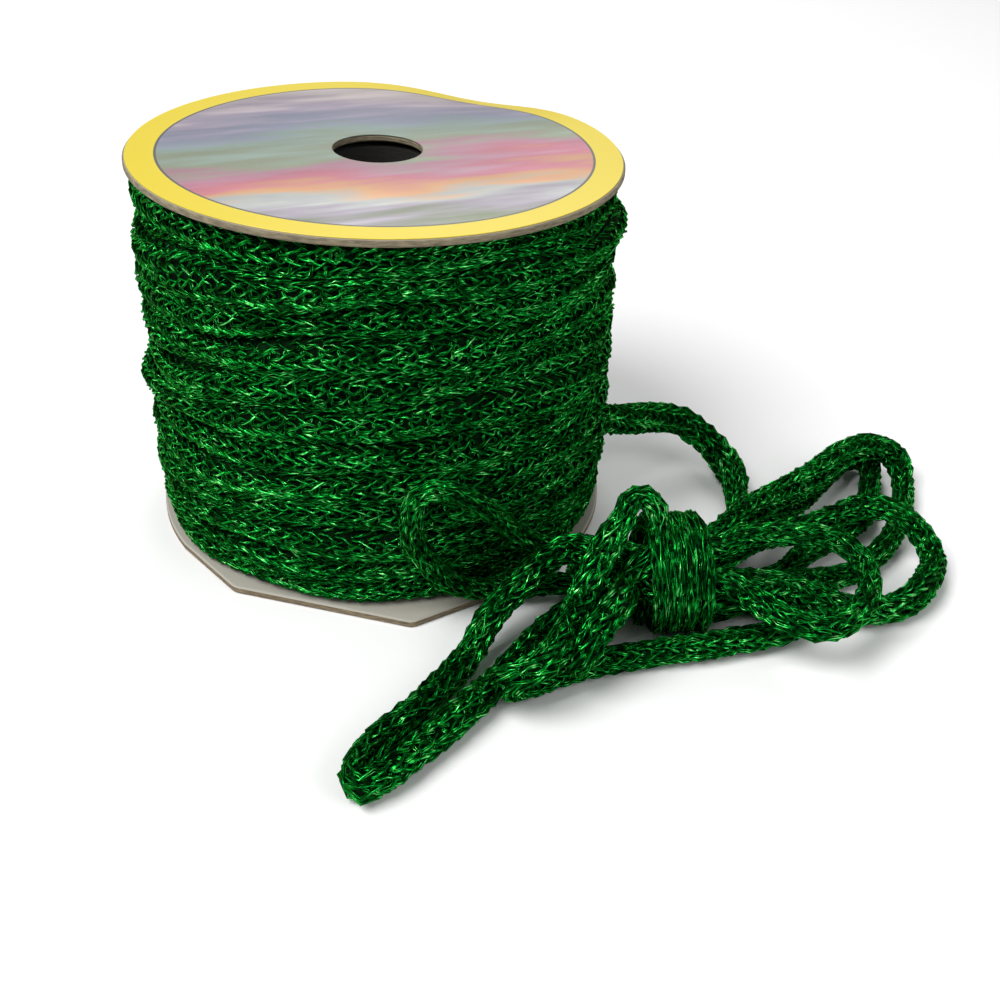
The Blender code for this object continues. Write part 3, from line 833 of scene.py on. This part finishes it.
def board_material(name, colours, face_height):
    """Recycled board: layers of fibre at its cut edge and a plain face above face_height millimetres."""
    pale, dark, face = colours
    material, tree, shader = new_material(name, 0.85)
    where = object_coordinates(tree)
    fibre = noise(tree, stretched(tree, where, BOARD_GRAIN), 1.0, 4.0)
    layers = ramp(tree, fibre, [(0.3, dark), (0.7, pale)])
    on_face = math_node(tree, "GREATER_THAN", split(tree, where)[2], face_height / 1000.0)
    tree.links.new(mix_colours(tree, on_face, layers, face), shader.inputs["Base Color"])
    bump(tree, shader, fibre, *BOARD_RELIEF)
    return material


def streaks(tree, where):
    """Watercolour bands that run across the disc, rising to the right, as a colour."""
    right, back, _ = split(tree, where)
    broad = noise(tree, stretched(tree, where, BROAD_SCALE), 1.0, 2.0)
    wisps = noise(tree, stretched(tree, rotated(tree, where, WISP_TURN), WISP_SCALE), 1.0, 4.0)
    place = math_node(tree, "MULTIPLY", right, BANDS_RIGHT)
    for value, share in ((back, BANDS_BACK), (broad, BROAD_SWAY), (wisps, WISP_SWAY)):
        place = math_node(tree, "MULTIPLY_ADD", value, share, place)
    place = math_node(tree, "ADD", place, BANDS_START)
    return mix_colours(tree, 1.0, ramp(tree, place, BANDS), ramp(tree, wisps, WISP_LIFT), "MULTIPLY")


def label_material():
    """Satin printed paper: soft bands, a thin dark line round them and a plain yellow ring."""
    material, tree, shader = new_material("printed_paper", 0.35)
    where = object_coordinates(tree)
    length = add_node(tree, "ShaderNodeVectorMath", operation="LENGTH")
    tree.links.new(where, length.inputs[0])
    reach = length.outputs["Value"]
    in_line = math_node(tree, "GREATER_THAN", reach, (PRINT_RADIUS - LINE_WIDTH) / 1000.0)
    in_ring = math_node(tree, "GREATER_THAN", reach, PRINT_RADIUS / 1000.0)
    lined = mix_colours(tree, in_line, streaks(tree, where), LINE_COLOUR)
    tree.links.new(mix_colours(tree, in_ring, lined, RING_COLOUR), shader.inputs["Base Color"])
    return material


# Surroundings

def make_floor():
    material, tree, shader = new_material("pale_floor", 0.9)
    shader.inputs["Base Color"].default_value = (*FLOOR_COLOUR, 1.0)
    bpy.ops.mesh.primitive_plane_add(size=FLOOR_SIZE / 1000.0)
    floor = bpy.context.object
    floor.name = "floor"
    floor.data.materials.append(material)


def add_light(name, place, width, power):
    data = bpy.data.lights.new(name, "AREA")
    data.shape = "DISK"
    data.size = width / 1000.0
    data.energy = power
    light = bpy.data.objects.new(name, data)
    light.location = mm(place)
    towards = Vector(LIGHTS_AIM) - Vector(place)
    light.rotation_mode = "QUATERNION"
    light.rotation_quaternion = towards.to_track_quat("-Z", "Y")
    bpy.context.scene.collection.objects.link(light)


def make_lights():
    world = bpy.data.worlds.new("studio")
    world.use_nodes = True
    sky = world.node_tree.nodes["Background"]
    sky.inputs["Color"].default_value = (1.0, 1.0, 1.0, 1.0)
    sky.inputs["Strength"].default_value = SKY_STRENGTH
    bpy.context.scene.world = world
    for light in LIGHTS:
        add_light(*light)
    bpy.context.scene.view_settings.view_transform = "Standard"


# The part

def dress(piece, slot, *nodes):
    """Make a piece part of the object, in place of the named nodes."""
    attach(piece, "root")
    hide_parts(*nodes)


def dress_cord(yarn, below):
    cord, line, travelled = make_cord(yarn, below)
    for piece in cord:
        dress(piece, "cord", "lead", "hank")


def dress_roll(yarn, below):
    for piece in make_roll_knit(yarn) + [make_roll_backing(below)]:
        dress(piece, "cord", "roll")


def dress_boards():
    upper = board_material("greyboard", UPPER_BOARD_COLOURS, BOARD_SEEN / 2 - UPPER_SKIN)
    lower = board_material("lined_board", LOWER_BOARD_COLOURS, BOTTOM_BOARD / 2 - LOWER_SKIN)
    angle, radius = board_outline(False, BOARD_STEPS)
    label = make_disc(
        "label_print", (angle, radius * LABEL_RADIUS / FLANGE_RADIUS), LABEL_SEEN,
        TOP_HEIGHT - LABEL_SEEN / 2, True, label_material(), LABEL_ROUNDING,
    )
    top = make_disc(
        "board_top", (angle, radius), BOARD_SEEN,
        TOP_HEIGHT - LABEL_SEEN - PASTE - BOARD_SEEN / 2, True, upper,
    )
    bottom = make_disc(
        "board_bottom", board_outline(True, CREASED_STEPS), BOTTOM_BOARD,
        BOTTOM_BOARD / 2, False, lower,
    )
    dress(label, "printed_disc", "label")
    dress(top, "greyboard", "flange_top")
    dress(bottom, "greyboard", "flange_bottom")


def dress_core():
    """The paper tube keeps its solid and gets a near-black material: painted shade inside the hole."""
    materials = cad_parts["core"].data.materials
    materials.clear()
    materials.append(board_material("paper_tube", TUBE_PAINTED_SHADE_COLOURS, TOP_HEIGHT))


def main():
    make_camera()
    yarn = yarn_material()
    below = backing_material()
    dress_cord(yarn, below)
    dress_roll(yarn, below)
    dress_boards()
    dress_core()
    make_floor()
    make_lights()


main()
bpy.context.view_layer.update()
